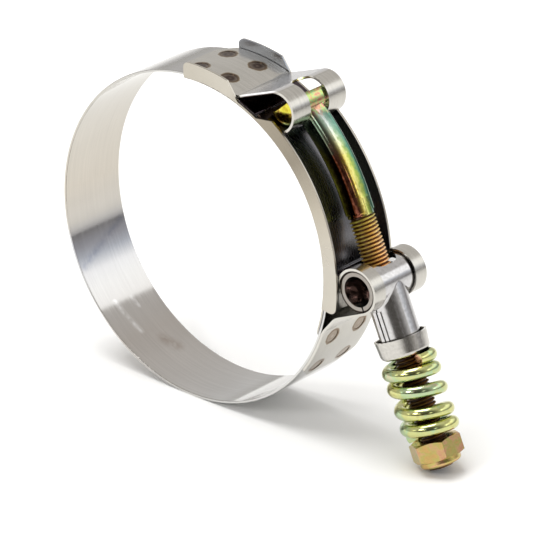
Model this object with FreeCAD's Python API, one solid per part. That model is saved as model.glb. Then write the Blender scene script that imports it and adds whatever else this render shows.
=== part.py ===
import FreeCAD, Part
import math
import os

# Spring-loaded T-bolt band clamp.
# Millimetres. The ring's centre is the origin, the ring's axis is Y and +Z is up.
# The gap that the T-bolt bridges is at +X. Angles are measured in the XZ plane, from +X towards +Z.

# Room by which a cutter runs past the piece it cuts, and the room within which two places are the same
cutter_overrun = 1.0
same_place = 0.01

# Band: one strip of stainless steel, rolled into an open ring
band_inner_radius = 40.85
band_thickness = 0.6
band_width = 19.0
band_upper_angle = 63.5
band_lower_angle = 4.2
lap_clearance = 0.02

# Bridge: channel under the gap, with its two flanges turned outwards
bridge_thickness = 0.6
bridge_side_clearance = 0.1
flange_bend = 0.7
ear_start_angle = 94.2
ear_end_angle = 76.8
ear_flange_height = 4.3
ear_corner = 1.6
notch_top_angle = 70.8
notch_bottom_angle = 62.2
notch_height = 1.0
channel_flange_height = 3.95
channel_flange_height_low = 4.5
channel_end_angle = -7.9
channel_corner = 1.8
tongue_end_angle = -21.5
tongue_corner = 4.0

# Saddles: straps folded into a loop and spot welded to the band
saddle_thickness = 0.6
saddle_side_inset = 0.1
saddle_end_chamfer = 3.6
weld_diameter = 3.6
weld_depth = 0.12
weld_row_half_spacing = 4.9

# T-bolt: cross-bar head, arched forged shank and straight thread
pivot_angle = 57.65
head_radius = 4.5
head_clearance = 0.08
head_loop_clearance = 0.49
head_flat_distance = 1.0
head_flat_angle = 132.0
head_end_inset = 2.4
head_end_rounding = 1.6
shank_width = 6.3
shank_height = 5.9
shank_rounding = 2.0
thread_side_angle = 25.25
thread_over_bridge = 1.695
shank_straight = 3.2
thread_radius = 3.175
thread_past_nut = 0.6
thread_point_chamfer = 0.8

# Upper saddle, which holds the T-bolt's head
upper_saddle_end_angle = 99.4
upper_lift_angle = 72.9
upper_leg_angle = 21.2
upper_bend = 2.4
upper_slot_side_room = 0.15
upper_slot_top_angle = 84.0
upper_slot_bottom_angle = -104.0
upper_tail_length = 3.6
upper_weld_angles = (93.2, 80.8)

# Trunnion: sheet steel formed round a cross tube and closed on a stem
trunnion_from_arch = 19.9
cross_tube_radius = 5.05
cross_tube_wall = 1.3
cross_tube_end_inset = 0.3
trunnion_clearance = 0.1
stem_inset = 0.1
bolt_clearance = 0.35
stem_end = 17.6
seam_gap = 0.45
seam_lip_height = 0.25
seam_lip_width = 2.3
seam_lip_start = 6.4
entry_hole_half_width = 3.7
entry_hole_half_length = 5.2
neck_rounding = 1.0

# Lower saddle, which holds the trunnion
lower_strap_angle = 21.1
lower_lift_run = 6.325
lower_foot_run = 1.2
lower_leg_length = 9.545
lower_leg_angle = 25.2
lower_bend = 4.5
lower_lift_bend = 5.0
lower_slot_side_room = 0.65
lower_slot_end_room = 3.65
lower_slot_tail = 2.1
lower_tail_length = 6.1
lower_weld_angles = (2.2, 16.2)

# Spring cup: drawn ferrule on the end of the stem
cup_rim_room = 1.45
cup_wall = 0.55
cup_floor = 0.8
cup_height = 4.8
cup_rounding = 1.3
cup_foot_room = 1.0

# Spring: round wire with closed ends
spring_wire = 3.15
spring_outer_radius = 6.97
spring_length = 20.7
spring_turns = 4.6
spring_end_pitch = 3.2
spring_ground_off = 0.6
spring_first_angle = 200.0
spring_points_per_turn = 12

# Lock nut with a nylon insert
nut_flats = 11.1
nut_turn_angle = 32.4
nut_hex_height = 4.7
nut_height = 6.3
nut_crown_radius = 4.95
nut_crown_rounding = 0.8
nut_thread_clearance = 0.05
nut_face_inset = 0.1
insert_outer_radius = 4.3
insert_thickness = 1.5
insert_cover = 0.4

# Values that follow from the sizes above
band_outer_radius = band_inner_radius + band_thickness
bridge_outer_radius = band_inner_radius - lap_clearance
bridge_inner_radius = bridge_outer_radius - bridge_thickness
flange_inner_y = band_width / 2 + bridge_side_clearance
flange_outer_y = flange_inner_y + bridge_thickness
saddle_inner_radius = band_outer_radius + lap_clearance
saddle_width = band_width - 2 * saddle_side_inset
upper_loop_radius = head_radius + head_clearance
head_half_length = saddle_width / 2 - head_end_inset
upper_slot_half_width = shank_width / 2 + upper_slot_side_room
cross_tube_bore = cross_tube_radius - cross_tube_wall
cross_tube_half_length = saddle_width / 2 - cross_tube_end_inset
stem_radius = cross_tube_radius - stem_inset
seam_lip_reach = stem_radius + seam_lip_height
lower_loop_radius = cross_tube_radius + trunnion_clearance
lower_slot_half_width = stem_radius + lower_slot_side_room
lower_slot_reach = lower_loop_radius + lower_slot_end_room
bore_radius = thread_radius + bolt_clearance
cup_radius = stem_radius + cup_rim_room
cup_foot_radius = stem_radius + cup_foot_room
cup_bottom = stem_end + cup_floor
nut_seat = cup_bottom + spring_length
nut_bore_radius = thread_radius + nut_thread_clearance
insert_end = nut_seat + nut_height - insert_cover
insert_start = insert_end - insert_thickness
pivot_radius = bridge_outer_radius + head_loop_clearance + saddle_thickness + upper_loop_radius
thread_line_distance = bridge_outer_radius + thread_over_bridge + thread_radius
thread_length = trunnion_from_arch + nut_seat + nut_height + thread_past_nut


def point(x, z, y=0.0):
    """A point given by its place in the ring's plane."""
    return FreeCAD.Vector(x, y, z)


def on_ring(radius, angle, centre=None):
    """A point at an angle round the ring's centre, or round another one."""
    start = centre if centre else point(0, 0)
    turn = math.radians(angle)
    return start + point(radius * math.cos(turn), radius * math.sin(turn))


def arc(radius, first, last, centre=None):
    """An arc in the ring's plane between two angles."""
    middle = (first + last) / 2
    ends = [on_ring(radius, a, centre) for a in (first, middle, last)]
    return Part.Arc(*ends).toShape()


def line(first, last):
    """A straight edge."""
    return Part.LineSegment(first, last).toShape()


def heading(angle):
    """A unit vector in the ring's plane."""
    return on_ring(1.0, angle)


def crossing(first, first_angle, second, second_angle):
    """Where two lines in the ring's plane meet, each given by a point and a direction."""
    a = heading(first_angle)
    b = heading(second_angle)
    apart = second - first
    spread = a.x * b.z - a.z * b.x
    along = (apart.x * b.z - apart.z * b.x) / spread
    return first + a * along


def rounded(before, corner, after, radius):
    """A corner between two straight runs: where its arc starts and ends, and the arc."""
    back = (before - corner).normalize()
    ahead = (after - corner).normalize()
    half = back.getAngle(ahead) / 2
    start = corner + back * (radius / math.tan(half))
    end = corner + ahead * (radius / math.tan(half))
    inward = (back + ahead).normalize()
    centre = corner + inward * (radius / math.sin(half))
    middle = centre + (corner - centre).normalize() * radius
    return start, end, Part.Arc(start, middle, end).toShape()


def at_angle(edge, angle):
    """Whether an edge lies at an angle round the ring's centre."""
    found = [math.degrees(math.atan2(v.Z, v.X)) for v in edge.Vertexes]
    return all(abs(a - angle) < same_place for a in found)


def curved_edges(shape, kind):
    """The edges of a shape that follow one kind of curve."""
    return [e for e in shape.Edges if isinstance(e.Curve, kind)]


def across(face, half_width):
    """Extrude a face of the ring's plane to both sides."""
    moved = face.translated(FreeCAD.Vector(0, -half_width, 0))
    return moved.extrude(FreeCAD.Vector(0, 2 * half_width, 0))


def side_plate(wire, y_from, y_to):
    """Extrude an outline in the ring's plane between two places along Y."""
    face = Part.Face(wire).translated(FreeCAD.Vector(0, y_from, 0))
    return face.extrude(FreeCAD.Vector(0, y_to - y_from, 0))


def ring_sector(inner, outer, first, last):
    """A flat sector between two radii and two angles."""
    edges = [
        arc(inner, first, last),
        line(on_ring(inner, last), on_ring(outer, last)),
        arc(outer, last, first),
        line(on_ring(outer, first), on_ring(inner, first)),
    ]
    return Part.Face(Part.Wire(edges))


def strap(edges, thickness):
    """The section of a strap whose inner side follows the edges."""
    return Part.Wire(edges).makeOffset2D(thickness, 0, True, True)


def along_bolt(distance):
    """A point on the thread's axis, measured from the trunnion's centre."""
    return trunnion_centre + bolt_axis * distance


def rod(radius, start, end):
    """A round solid along the thread's axis."""
    return Part.makeCylinder(radius, end - start, along_bolt(start), bolt_axis)


def turned(outline):
    """A solid of revolution about the thread's axis, from pairs of radius and distance."""
    corners = [along_bolt(d) + bolt_side * r for r, d in outline]
    wire = Part.makePolygon(corners + [corners[0]])
    return Part.Face(wire).revolve(trunnion_centre, bolt_axis, 360)


pivot = on_ring(pivot_radius, pivot_angle)
bolt_axis = heading(thread_side_angle - 90)
bolt_side = heading(thread_side_angle)
arch_end = on_ring(thread_line_distance, thread_side_angle)
trunnion_centre = arch_end + bolt_axis * trunnion_from_arch
arch_chord = pivot - arch_end
arch_radius = -arch_chord.Length ** 2 / (2 * arch_chord.dot(bolt_side))
arch_centre = arch_end - bolt_side * arch_radius
lower_touch = on_ring(lower_loop_radius, lower_leg_angle - 90, trunnion_centre)
lower_corner = lower_touch - heading(lower_leg_angle) * lower_leg_length
lower_corner_angle = math.degrees(math.atan2(lower_corner.z, lower_corner.x))
lower_lift_angle = lower_corner_angle - math.degrees(lower_lift_run / saddle_inner_radius)


def make_band():
    """The clamp's ring, open between its two ends."""
    sector = ring_sector(band_inner_radius, band_outer_radius, band_upper_angle, 360 + band_lower_angle)
    return across(sector, band_width / 2)


def flange_outline():
    """Side view of a flange: the ear, the notch that lets it bend, and the channel's side."""
    low = bridge_inner_radius
    ear = low + ear_flange_height
    notch = low + notch_height
    side = low + channel_flange_height
    side_low = low + channel_flange_height_low
    corner = on_ring(ear, ear_start_angle)
    along = math.degrees(ear_corner / ear)
    foot = on_ring(ear - ear_corner, ear_start_angle)
    turn = on_ring(ear, ear_start_angle - along)
    bulge = corner + (on_ring(ear - ear_corner, ear_start_angle - along) - corner) * (1 - math.sqrt(0.5))
    end = on_ring(side_low, channel_end_angle)
    sweep = math.degrees(channel_corner / side_low)
    end_foot = on_ring(side_low - channel_corner, channel_end_angle)
    end_turn = on_ring(side_low, channel_end_angle + sweep)
    inside = on_ring(side_low - channel_corner, channel_end_angle + sweep)
    end_bulge = end + (inside - end) * (1 - math.sqrt(0.5))
    rise = notch_bottom_angle - math.degrees(channel_flange_height / side)
    middle = (rise + channel_end_angle + sweep) / 2
    return Part.Wire(
        [
            line(on_ring(low, ear_start_angle), foot),
            Part.Arc(foot, bulge, turn).toShape(),
            arc(ear, ear_start_angle - along, ear_end_angle),
            line(on_ring(ear, ear_end_angle), on_ring(notch, notch_top_angle)),
            arc(notch, notch_top_angle, notch_bottom_angle),
            line(on_ring(notch, notch_bottom_angle), on_ring(side, rise)),
            Part.Arc(on_ring(side, rise), on_ring(side, middle), end_turn).toShape(),
            Part.Arc(end_turn, end_bulge, end_foot).toShape(),
            line(end_foot, on_ring(low, channel_end_angle)),
            arc(low, channel_end_angle, ear_start_angle),
        ]
    )


def make_bridge():
    """The channel that closes the ring's inside across the gap, with its tongue."""
    sector = ring_sector(bridge_inner_radius, bridge_outer_radius, channel_end_angle, ear_start_angle)
    web = across(sector, flange_outer_y)
    sector = ring_sector(bridge_inner_radius, bridge_outer_radius, tongue_end_angle, channel_end_angle)
    tongue = across(sector, band_width / 2)
    near = side_plate(flange_outline(), -flange_outer_y, -flange_inner_y)
    far = side_plate(flange_outline(), flange_inner_y, flange_outer_y)
    shape = web.fuse([tongue, near, far]).removeSplitter()
    bends = [
        e
        for e in curved_edges(shape, Part.Circle)
        if abs(e.Curve.Radius - bridge_inner_radius) < same_place
        and abs(abs(e.CenterOfMass.y) - flange_outer_y) < same_place
        and e.Length > band_width / 2
    ]
    shape = shape.makeFillet(flange_bend, bends)
    tip = [e for e in shape.Edges if e.Length < 2 * bridge_thickness and at_angle(e, tongue_end_angle)]
    return shape.makeFillet(tongue_corner, tip)


def upper_saddle_path():
    """Inner side of the strap from its welded end, round the T-bolt's head, to its tail."""
    leg_angle = upper_leg_angle
    touch = on_ring(upper_loop_radius, leg_angle + 90, pivot)
    lift = on_ring(saddle_inner_radius, upper_lift_angle)
    corner = crossing(lift, upper_lift_angle - 90, touch, leg_angle)
    start, end, bend = rounded(lift, corner, touch, upper_bend)
    bottom = pivot_angle - 180
    base = on_ring(upper_loop_radius, bottom, pivot)
    tail = base + heading(pivot_angle + 90) * upper_tail_length
    return [
        arc(saddle_inner_radius, upper_saddle_end_angle, upper_lift_angle),
        line(lift, start),
        bend,
        line(end, touch),
        arc(upper_loop_radius, leg_angle + 90, bottom, pivot),
        line(base, tail),
    ]


def lower_saddle_path():
    """Inner side of the strap from its welded end, round the trunnion, to its tail."""
    left = on_ring(lower_loop_radius, 180, trunnion_centre)
    lift = on_ring(saddle_inner_radius, lower_lift_angle)
    foot = lift + heading(lower_lift_angle + 90) * lower_foot_run
    foot_start, foot_end, foot_bend = rounded(lift, foot, lower_corner, lower_lift_bend)
    start, end, bend = rounded(foot_end, lower_corner, lower_touch, lower_bend)
    return [
        arc(saddle_inner_radius, lower_lift_angle - lower_strap_angle, lower_lift_angle),
        line(lift, foot_start),
        foot_bend,
        line(foot_end, start),
        bend,
        line(end, lower_touch),
        arc(lower_loop_radius, lower_leg_angle - 90, 180, trunnion_centre),
        line(left, left - point(0, lower_tail_length)),
    ]


def weld_dimples(angles, surface_radius):
    """The shallow round marks that the spot welder leaves, two rows across the strap."""
    marks = []
    for angle in angles:
        for y in (-weld_row_half_spacing, weld_row_half_spacing):
            seat = on_ring(surface_radius - weld_depth, angle)
            seat = seat + FreeCAD.Vector(0, y, 0)
            marks.append(Part.makeCylinder(weld_diameter / 2, saddle_thickness, seat, heading(angle)))
    return marks


def end_chamfers(angle, radius, turn):
    """Prisms that cut the two corners off a strap's welded end."""
    cutters = []
    tip = on_ring(radius + saddle_thickness, angle)
    inward = heading(angle + turn) * saddle_end_chamfer
    depth = heading(angle) * (-3 * saddle_thickness)
    for side in (-1, 1):
        corner = tip + FreeCAD.Vector(0, side * saddle_width / 2, 0)
        aside = FreeCAD.Vector(0, -side * saddle_end_chamfer, 0)
        outline = [corner - inward - aside, corner + inward * 2 - aside, corner - inward + aside * 2]
        cutters.append(Part.Face(Part.makePolygon(outline + [outline[0]])).extrude(depth))
    return cutters


def make_upper_saddle():
    """Strap welded over the band's upper end, looped round the T-bolt's head."""
    body = across(strap(upper_saddle_path(), saddle_thickness), saddle_width / 2)
    reach = upper_loop_radius + 3 * saddle_thickness
    wedge = Part.Face(
        Part.Wire(
            [
                line(pivot, on_ring(reach, upper_slot_bottom_angle, pivot)),
                arc(reach, upper_slot_bottom_angle, upper_slot_top_angle, pivot),
                line(on_ring(reach, upper_slot_top_angle, pivot), pivot),
            ]
        )
    )
    round_end = Part.makeCylinder(upper_slot_half_width, 2 * reach, pivot, heading(upper_slot_top_angle))
    body = body.cut([across(wedge, upper_slot_half_width), round_end])
    surface = saddle_inner_radius + saddle_thickness
    body = body.cut(weld_dimples(upper_weld_angles, surface))
    return body.cut(end_chamfers(upper_saddle_end_angle, surface, -90))


def make_lower_saddle():
    """Strap welded on the band below the gap, looped round the trunnion."""
    body = across(strap(lower_saddle_path(), -saddle_thickness), saddle_width / 2)
    halves = [arc(lower_slot_reach, -180, 0, trunnion_centre), arc(lower_slot_reach, 0, 180, trunnion_centre)]
    disc = Part.Face(Part.Wire(halves))
    slot = across(disc, lower_slot_half_width)
    tail = Part.makeBox(
        lower_slot_reach,
        2 * (lower_slot_half_width + cutter_overrun),
        lower_slot_reach,
        trunnion_centre
        - FreeCAD.Vector(
            lower_slot_reach + cross_tube_radius,
            lower_slot_half_width + cutter_overrun,
            lower_slot_reach + lower_slot_tail,
        ),
    )
    body = body.cut(slot.cut(tail))
    surface = saddle_inner_radius + saddle_thickness
    welds = [lower_lift_angle - a for a in lower_weld_angles]
    body = body.cut(weld_dimples(welds, surface))
    return body.cut(end_chamfers(lower_lift_angle - lower_strap_angle, surface, 90))


def make_t_bolt():
    """Cross-bar head, arched shank of rounded section and straight thread."""
    head = Part.makeCylinder(
        head_radius,
        2 * head_half_length,
        pivot - FreeCAD.Vector(0, head_half_length, 0),
        FreeCAD.Vector(0, 1, 0),
    )
    head = head.makeFillet(head_end_rounding, curved_edges(head, Part.Circle))
    flat = Part.makeBox(
        2 * head_radius,
        2 * (head_half_length + cutter_overrun),
        head_radius,
        FreeCAD.Vector(-head_radius, -head_half_length - cutter_overrun, head_flat_distance),
    )
    flat.rotate(FreeCAD.Vector(0, 0, 0), FreeCAD.Vector(0, 1, 0), 90 - head_flat_angle)
    flat.translate(pivot)
    head = head.cut(flat)
    section = Part.makeBox(
        shank_height,
        shank_width,
        shank_straight,
        FreeCAD.Vector(-shank_height / 2, -shank_width / 2, 0),
    )
    upright = [e for e in section.Edges if abs(e.CenterOfMass.z - shank_straight / 2) < same_place]
    section = section.makeFillet(shank_rounding, upright)
    base = [f for f in section.Faces if abs(f.CenterOfMass.z) < same_place][0]
    base.rotate(FreeCAD.Vector(0, 0, 0), FreeCAD.Vector(0, 1, 0), -thread_side_angle)
    base.translate(arch_end)
    spoke = pivot - arch_centre
    sweep = math.degrees(math.atan2(spoke.z, spoke.x)) - thread_side_angle
    arch = base.revolve(arch_centre, FreeCAD.Vector(0, 1, 0), -sweep)
    straight = base.extrude(bolt_axis * shank_straight)
    thread = Part.makeCylinder(thread_radius, thread_length, arch_end, bolt_axis)
    tip = arch_end + bolt_axis * thread_length
    rim = [e for e in thread.Edges if (e.CenterOfMass - tip).Length < same_place]
    thread = thread.makeChamfer(thread_point_chamfer, rim)
    return head.fuse([arch, straight, thread]).removeSplitter()


def make_trunnion():
    """Cross tube and stem formed from one sheet, with the seam lips along the stem."""
    tube = Part.makeCylinder(
        cross_tube_radius,
        2 * cross_tube_half_length,
        trunnion_centre - FreeCAD.Vector(0, cross_tube_half_length, 0),
        FreeCAD.Vector(0, 1, 0),
    )
    body = tube.fuse(rod(stem_radius, 0, stem_end)).removeSplitter()
    joint = [e for e in curved_edges(body, Part.BSplineCurve) if abs(e.CenterOfMass.y) < same_place]
    body = body.makeFillet(neck_rounding, joint)
    lips = Part.makeBox(seam_lip_width, 2 * seam_lip_reach, stem_end - seam_lip_start)
    lips.translate(FreeCAD.Vector(-seam_lip_width / 2, -seam_lip_reach, seam_lip_start))
    lips = along_axis(lips)
    body = body.fuse(lips)
    bore = Part.makeCylinder(
        cross_tube_bore,
        2 * (cross_tube_half_length + cutter_overrun),
        trunnion_centre - FreeCAD.Vector(0, cross_tube_half_length + cutter_overrun, 0),
        FreeCAD.Vector(0, 1, 0),
    )
    seam = Part.makeBox(seam_gap, 4 * cross_tube_half_length, stem_end + cutter_overrun)
    seam.translate(FreeCAD.Vector(-seam_gap / 2, -2 * cross_tube_half_length, 0))
    middle = entry_hole_half_length - entry_hole_half_width
    entry = Part.makeBox(2 * entry_hole_half_width, 2 * middle, 2 * cross_tube_radius)
    entry.translate(FreeCAD.Vector(-entry_hole_half_width, -middle, -2 * cross_tube_radius))
    for y in (-middle, middle):
        start = FreeCAD.Vector(0, y, -2 * cross_tube_radius)
        entry = entry.fuse(Part.makeCylinder(entry_hole_half_width, 2 * cross_tube_radius, start))
    bolt_room = rod(bore_radius, -cross_tube_radius, stem_end + cutter_overrun)
    return body.cut([bore, along_axis(seam), along_axis(entry), bolt_room])


def along_axis(shape):
    """Stand a shape, made about the vertical, on the trunnion's centre along the thread's axis."""
    turned_shape = shape.copy()
    turned_shape.rotate(FreeCAD.Vector(0, 0, 0), FreeCAD.Vector(0, 1, 0), 180 - thread_side_angle)
    turned_shape.translate(trunnion_centre)
    return turned_shape


def make_spring_cup():
    """Drawn cup whose floor carries the end of the stem and presses on the spring."""
    top = cup_bottom - cup_height
    cup = turned([(0, top), (cup_radius, top), (cup_foot_radius, cup_bottom), (0, cup_bottom)])
    foot = along_bolt(cup_bottom)
    rim = [e for e in curved_edges(cup, Part.Circle) if (e.CenterOfMass - foot).Length < same_place]
    cup = cup.makeFillet(cup_rounding, rim)
    floor = cup_bottom - cup_floor
    inside = [(0, top), (cup_radius - cup_wall, top), (cup_foot_radius - cup_wall, floor), (0, floor)]
    return cup.cut([turned(inside), rod(bore_radius, floor - cutter_overrun, cup_bottom + cutter_overrun)])


def make_spring():
    """Compression spring whose end turns are wound close."""
    mean = spring_outer_radius - spring_wire / 2
    inset = spring_wire / 2 - spring_ground_off
    open_turns = spring_turns - 2
    extra = spring_length - 2 * inset - spring_end_pitch * spring_turns
    count = round(spring_turns * spring_points_per_turn)
    centres = []
    for k in range(count + 1):
        turn = spring_turns * k / count
        share = min(max((turn - 1) / open_turns, 0), 1)
        height = cup_bottom + inset + spring_end_pitch * turn + extra * share ** 2 * (3 - 2 * share)
        angle = math.radians(spring_first_angle - 360 * turn)
        centres.append(FreeCAD.Vector(mean * math.cos(angle), mean * math.sin(angle), height))
    curve = Part.BSplineCurve()
    curve.interpolate(centres)
    heading_first = curve.tangent(curve.FirstParameter)[0]
    ring = Part.Wire(Part.makeCircle(spring_wire / 2, centres[0], heading_first))
    coil = Part.Wire(curve.toShape()).makePipeShell([ring], True, True)
    room = Part.makeCylinder(2 * spring_outer_radius, spring_length, FreeCAD.Vector(0, 0, cup_bottom))
    return along_axis(coil.common(room))


def make_lock_nut():
    """Hexagon nut with a round crown that is rolled over its insert."""
    corners = []
    size = nut_flats / math.sqrt(3)
    for k in range(7):
        turn = math.radians(60 * k + nut_turn_angle)
        corners.append(FreeCAD.Vector(size * math.cos(turn), size * math.sin(turn), nut_seat))
    hexagon = Part.Face(Part.makePolygon(corners)).extrude(FreeCAD.Vector(0, 0, nut_hex_height))
    hexagon = along_axis(hexagon)
    slope = (size - nut_flats / 2) * math.tan(math.radians(30))
    chamfered = turned(
        [
            (0, nut_seat),
            (nut_flats / 2 - nut_face_inset, nut_seat),
            (size, nut_seat + slope),
            (size, nut_seat + nut_hex_height - slope),
            (nut_flats / 2 - nut_face_inset, nut_seat + nut_hex_height),
            (0, nut_seat + nut_hex_height),
        ]
    )
    crown = rod(nut_crown_radius, nut_seat + nut_hex_height / 2, nut_seat + nut_height)
    top = along_bolt(nut_seat + nut_height)
    edge = [e for e in curved_edges(crown, Part.Circle) if (e.CenterOfMass - top).Length < same_place]
    crown = crown.makeFillet(nut_crown_rounding, edge)
    cuts = [
        rod(nut_bore_radius, nut_seat - cutter_overrun, nut_seat + nut_height + cutter_overrun),
        rod(insert_outer_radius, insert_start, insert_end),
    ]
    return hexagon.common(chamfered).fuse(crown).removeSplitter().cut(cuts)


def make_nylon_insert():
    """Ring held in the nut's crown, which grips the thread."""
    ring = rod(insert_outer_radius, insert_start, insert_end)
    return ring.cut(rod(nut_bore_radius, insert_start - cutter_overrun, insert_end + cutter_overrun))


makers = {
    "band": make_band,
    "bridge": make_bridge,
    "bolt_saddle": make_upper_saddle,
    "trunnion_saddle": make_lower_saddle,
    "t_bolt": make_t_bolt,
    "trunnion": make_trunnion,
    "spring_cup": make_spring_cup,
    "spring": make_spring,
    "lock_nut": make_lock_nut,
    "nylon_insert": make_nylon_insert,
}

os.makedirs("parts", exist_ok=True)
for name, make in makers.items():
    solid = make()
    solid.exportStep(f"parts/{name}.step")
    box = solid.BoundBox
    size = f"{box.XLength:.1f} x {box.YLength:.1f} x {box.ZLength:.1f} mm"
    print(f"{name}: {len(solid.Solids)} solid, {solid.Volume:.1f} mm3, {size}, valid {solid.isValid()}")
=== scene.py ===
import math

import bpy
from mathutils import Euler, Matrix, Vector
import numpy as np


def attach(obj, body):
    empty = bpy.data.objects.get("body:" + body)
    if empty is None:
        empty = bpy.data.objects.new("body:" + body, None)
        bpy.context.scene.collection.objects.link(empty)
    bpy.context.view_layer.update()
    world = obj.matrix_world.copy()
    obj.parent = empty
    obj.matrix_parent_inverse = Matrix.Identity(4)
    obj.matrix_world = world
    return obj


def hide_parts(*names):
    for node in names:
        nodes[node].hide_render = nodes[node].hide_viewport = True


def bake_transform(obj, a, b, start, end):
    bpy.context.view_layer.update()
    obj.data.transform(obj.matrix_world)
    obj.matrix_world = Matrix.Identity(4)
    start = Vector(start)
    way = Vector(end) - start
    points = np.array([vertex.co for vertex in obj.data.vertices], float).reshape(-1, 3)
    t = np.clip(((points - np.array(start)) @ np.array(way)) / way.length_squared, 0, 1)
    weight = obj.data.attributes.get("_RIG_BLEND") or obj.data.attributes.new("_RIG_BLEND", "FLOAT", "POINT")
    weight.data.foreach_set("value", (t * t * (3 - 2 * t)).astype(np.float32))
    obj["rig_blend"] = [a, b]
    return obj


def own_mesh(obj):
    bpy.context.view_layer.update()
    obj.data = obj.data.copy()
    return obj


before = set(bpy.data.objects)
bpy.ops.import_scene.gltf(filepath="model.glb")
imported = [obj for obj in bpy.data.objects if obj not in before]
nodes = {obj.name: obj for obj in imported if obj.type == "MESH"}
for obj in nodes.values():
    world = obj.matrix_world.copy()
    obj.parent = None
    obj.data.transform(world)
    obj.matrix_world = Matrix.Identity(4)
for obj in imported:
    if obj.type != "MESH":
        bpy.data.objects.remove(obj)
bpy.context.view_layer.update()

# %% [markdown]
# # A spring-loaded T-bolt band clamp
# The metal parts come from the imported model, in metres, with the ring's centre at the origin and its axis along Y.
# Sizes below are written in millimetres, and times MM they are metres.
# This lesson gives them their finishes and models the pieces whose fine shape shows: the bending band, the bolt's
# thread, the coil spring and the wall inside the trunnion.

MM = 0.001
print("pieces from the model:", sorted(nodes))

# %% [markdown]
# ## The camera
# The photo was taken from far away with a long lens, so parallel edges stay nearly parallel. A distance of 1.2 m and
# a lens of 338 mm give the same weak perspective, and the three angles put the clamp in the photo's frame.

# %% Camera
camera = bpy.data.objects.new("camera", bpy.data.cameras.new("camera"))
bpy.context.scene.collection.objects.link(camera)
camera.location = Vector((705.58, -820.97, 490.01)) * MM
camera.rotation_euler = Euler([math.radians(a) for a in (65.182, -0.950, 40.519)], "XYZ")
camera.data.lens = 337.71
camera.data.sensor_width = 36.0
camera.data.clip_start = 0.01
camera.data.clip_end = 20.0
bpy.context.scene.camera = camera
bpy.context.scene.view_settings.view_transform = "Standard"
print("camera", round(camera.location.length, 3), "m from the ring's centre")

# %% [markdown]
# ## Colours
# Colours are written as they look on a screen, because that is how they are picked. A shader works with linear
# light, so one function turns each of them.

# %% Screen colours to linear ones
def colour(code):
    """A screen colour such as "c8c3b8" as a linear colour."""
    parts = [int(code[i:i + 2], 16) / 255 for i in (0, 2, 4)]
    return [p / 12.92 if p <= 0.04045 else ((p + 0.055) / 1.055) ** 2.4 for p in parts] + [1.0]


print("middle grey is", [round(part, 3) for part in colour("808080")[:3]])

# %% [markdown]
# ## Nodes
# A material is a small net of nodes. One function adds a node, sets it and feeds its inputs. An input takes a value,
# a node, or one certain output of a node. A colour ramp also takes its stops, each a place and a colour.

# %% Add a node
def feed(tree, socket, source):
    """Give an input a value, or link it to a node or to one of a node's outputs."""
    if isinstance(source, bpy.types.Node):
        source = next(output for output in source.outputs if output.enabled)
    if isinstance(source, bpy.types.NodeSocket):
        tree.links.new(source, socket)
    else:
        socket.default_value = source


def add_node(tree, kind, inputs=(), stops=(), **settings):
    """Add a node with its settings. Inputs pairs a socket's name or number with what feeds it."""
    made = tree.nodes.new(kind)
    for name, value in settings.items():
        setattr(made, name, value)
    for socket, source in inputs:
        feed(tree, made.inputs[socket], source)
    if stops:
        while len(made.color_ramp.elements) < len(stops):
            made.color_ramp.elements.new(0.5)
        for element, (place, code) in zip(made.color_ramp.elements, stops):
            element.position = place
            element.color = colour(code)
    return made


print("nodes are added by", add_node.__name__)

# %% [markdown]
# ## Materials
# A pattern's scale is worked out from the size of one of its features in millimetres, because Object coordinates are
# in metres. Some finishes are built in two steps, first the metal and then the marks of use at certain places, so
# one function opens a finished material again.

# %% Start a material, and open it again
def per(mm):
    """The scale at which a pattern repeats about every so many millimetres."""
    return 1000 / mm


def new_material(name):
    """A material with only its output and a shader."""
    material = bpy.data.materials.new(name)
    material.use_nodes = True
    tree = material.node_tree
    tree.nodes.clear()
    shader = add_node(tree, "ShaderNodeBsdfPrincipled")
    add_node(tree, "ShaderNodeOutputMaterial", [("Surface", shader)])
    return material, tree, shader


def opened(material):
    """A material's tree, its shader, and the output that gives its colour."""
    tree = material.node_tree
    shader = next(node for node in tree.nodes if node.type == "BSDF_PRINCIPLED")
    return tree, shader, shader.inputs["Base Color"].links[0].from_socket


def put_on(name, material):
    """Give a piece from the model one material."""
    piece = nodes[name]
    piece.data.materials.clear()
    piece.data.materials.append(material)


print("a pattern of 2 mm has the scale", per(2))

# %% [markdown]
# ## Marks at certain places
# A mark needs a share, which is one where the mark lies and zero elsewhere. Shares multiplied give the place where
# all of them hold. A stain is multiplied with the metal's colour, so that the grain below still shows through.

# %% Shares and stains
def where_all(tree, *shares):
    """One where every share is one."""
    whole = shares[0]
    for share in shares[1:]:
        whole = add_node(tree, "ShaderNodeMath", [(0, whole), (1, share)], operation="MULTIPLY")
    return whole


def stained(tree, tint, *stains):
    """A tint with stains laid over it, each a share and a colour."""
    for share, stain in stains:
        tint = add_node(
            tree, "ShaderNodeMix", [(0, share), (6, tint), (7, stain)], data_type="RGBA", blend_type="MULTIPLY"
        )
    return tint


print("marks are placed by", where_all.__name__, "and laid by", stained.__name__)

# %% [markdown]
# ## Directions on a ring
# The strip was rolled and brushed along its length, so its grain runs round the ring. Turning X and Z into an angle
# gives a coordinate that follows the strip: one number along it, one across it.

# %% Coordinates that follow the strip
STRIP_RADIUS = 41.2


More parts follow.
